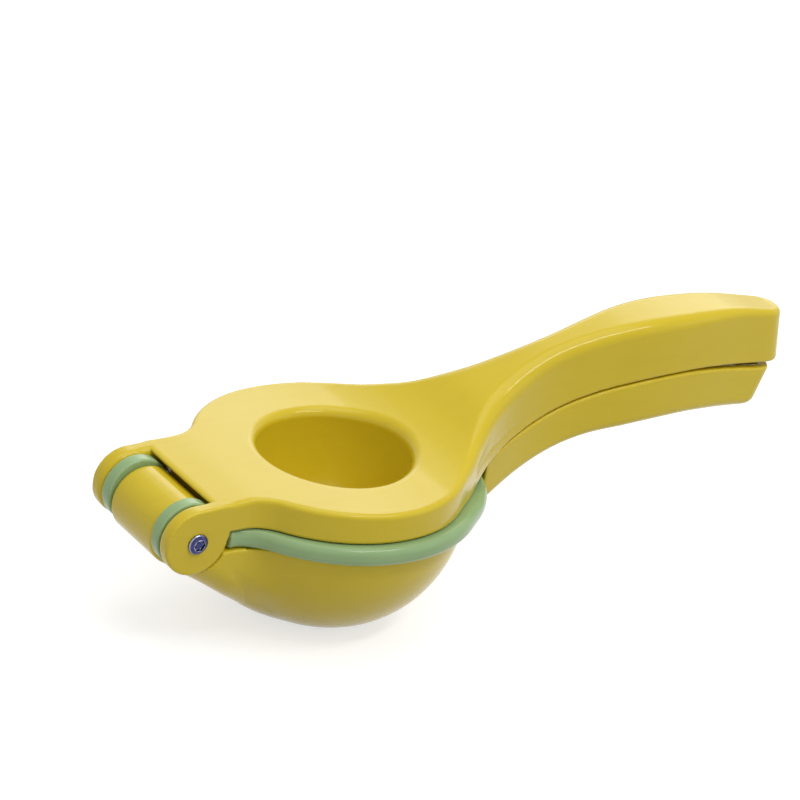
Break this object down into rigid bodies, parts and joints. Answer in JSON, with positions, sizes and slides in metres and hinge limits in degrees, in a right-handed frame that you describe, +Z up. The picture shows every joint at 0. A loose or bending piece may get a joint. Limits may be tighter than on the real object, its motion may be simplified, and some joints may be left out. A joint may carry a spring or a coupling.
{
  "type": "hinged lemon squeezer",
  "caption": "Hand-held hinged citrus squeezer: a press dome, a lime cup and a lemon bowl nest on one hinge and close between two curved handles.",
  "frame": {"origin": "centre of the bowl's small flat base, which the squeezer stands on", "axes": "+X from the bowls' axis towards the handles' tips, +Z up along the bowls' axis, -Y on the side of the screw's head"},
  "size_m": [0.2037, 0.0798, 0.0729],
  "materials": {
    "yellow_enamel": "gloss",
    "green_enamel": "gloss",
    "steel": "polished"
  },
  "bodies": {
    "bowl": {"bowl_arm": "yellow_enamel", "hinge_screw": "steel", "hinge_sleeve": "steel"},
    "cup": {"lime_cup": "green_enamel"},
    "press": {"press_arm": "yellow_enamel"}
  },
  "joints": [
    {"name": "cup_hinge", "type": "hinge", "parent": "bowl", "child": "cup", "pos_m": [-0.052, 0, 0.0355], "axis": [0, -1, 0], "range_deg": [0, 80]},
    {"name": "press_hinge", "type": "hinge", "parent": "cup", "child": "press", "pos_m": [-0.052, 0, 0.0355], "axis": [0, -1, 0], "range_deg": [0, 90]}
  ]
}
